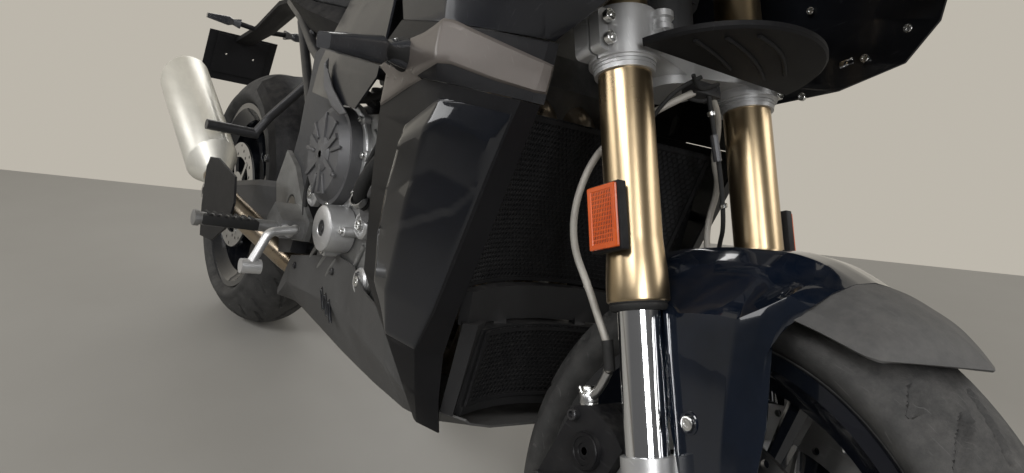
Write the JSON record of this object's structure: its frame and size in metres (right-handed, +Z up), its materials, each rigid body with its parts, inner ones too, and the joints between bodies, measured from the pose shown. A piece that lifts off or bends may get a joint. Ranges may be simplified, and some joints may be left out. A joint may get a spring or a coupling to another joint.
{
  "type": "sport touring motorcycle",
  "caption": "Sport touring motorcycle leaning on its side stand, with upside-down fork, half fairing, curved radiator and twin seats",
  "frame": {"origin": "on the floor at the middle of the bounding box of the parked machine", "axes": "+X forward along the machine, +Y to the rider's left, +Z up; the machine leans to +Y on its side stand"},
  "size_m": [2.3329, 0.9726, 1.3937],
  "materials": {
    "amber": "prismatic",
    "black_rubber": "matt",
    "blue_black": "gloss",
    "bright_tube": "polished",
    "cast_engine": "as cast",
    "clear": "clear",
    "cooler_black": "matt black paint",
    "dark_metal": "satin",
    "frame_grey": "satin",
    "gloss_black": "gloss",
    "gold_tube": "brushed gold anodising",
    "matt_black": "matt",
    "mirror_shell": "satin",
    "red_lens": "gloss",
    "seat_cover": "grained",
    "silver_casting": "satin paint",
    "slate": "metallic",
    "smoked": "smoked",
    "steel": "brushed",
    "taupe": "metallic",
    "tyre_rubber": "matt"
  },
  "bodies": {
    "chassis": {"frame": "frame_grey", "subframe": "dark_metal", "engine_block": "cast_engine", "engine_covers": "silver_casting", "coolers": "cooler_black", "cooler_guards": "matt_black", "side_cowls": "matt_black", "fairing_bands": "taupe", "upper_fairings": "slate", "nose_fairing": "slate", "headlamps": "clear", "windscreen": "clear", "belly_pan": "matt_black", "fuel_tank": "slate", "tank_side_panels": "slate", "rider_seat": "seat_cover", "pillion_seat": "seat_cover", "tail_unit": "matt_black", "grab_rails": "matt_black", "tail_lamp": "red_lens", "plate_holder": "matt_black", "turn_signals": "smoked", "swingarm": "frame_grey", "pivot_and_axle": "steel", "chain": "steel", "hugger": "matt_black", "rear_shock": "dark_metal", "exhaust_pipes": "steel", "silencer": "steel", "exhaust_shield": "matt_black", "foot_levers": "silver_casting", "footrests": "silver_casting", "instrument_stay": "matt_black"},
    "steering": {"fork_outer_tubes": "gold_tube", "fork_dust_seals": "black_rubber", "fork_inner_tubes": "bright_tube", "fork_castings": "silver_casting", "fork_yokes": "silver_casting", "brake_hoses": "black_rubber", "reflectors": "amber", "handlebar": "dark_metal", "grips": "black_rubber", "hand_controls": "matt_black", "mirrors": "mirror_shell", "front_axle": "steel", "splash_guard": "matt_black", "front_fender": "blue_black", "fender_extension": "matt_black", "front_calipers": "matt_black"},
    "front_wheel": {"front_tyre": "tyre_rubber", "front_rim": "gloss_black", "front_discs": "steel"},
    "rear_wheel": {"rear_tyre": "tyre_rubber", "rear_rim": "gloss_black", "rear_disc": "steel", "rear_sprocket": "steel"},
    "side_stand": {"side_stand": "dark_metal"}
  },
  "joints": [
    {"name": "steering", "type": "hinge", "parent": "chassis", "child": "steering", "pos_m": [0.56844, -0.04485, 0.84521], "axis": [-0.4204, 0.2118, 0.8823], "range_deg": [-30, 30]},
    {"name": "front_wheel_spin", "type": "hinge", "parent": "steering", "child": "front_wheel", "pos_m": [0.86654, -0.17727, 0.29364], "axis": [0, 0.9724, -0.2334], "continuous": true},
    {"name": "rear_wheel_spin", "type": "hinge", "parent": "chassis", "child": "rear_wheel", "pos_m": [-0.65545, -0.17224, 0.3146], "axis": [0, 0.9724, -0.2334], "continuous": true},
    {"name": "side_stand_fold", "type": "hinge", "parent": "chassis", "child": "side_stand", "pos_m": [-0.09444, -0.01018, 0.28712], "axis": [0.2067, 0.9276, 0.3112], "range_deg": [0, 104.93]}
  ]
}
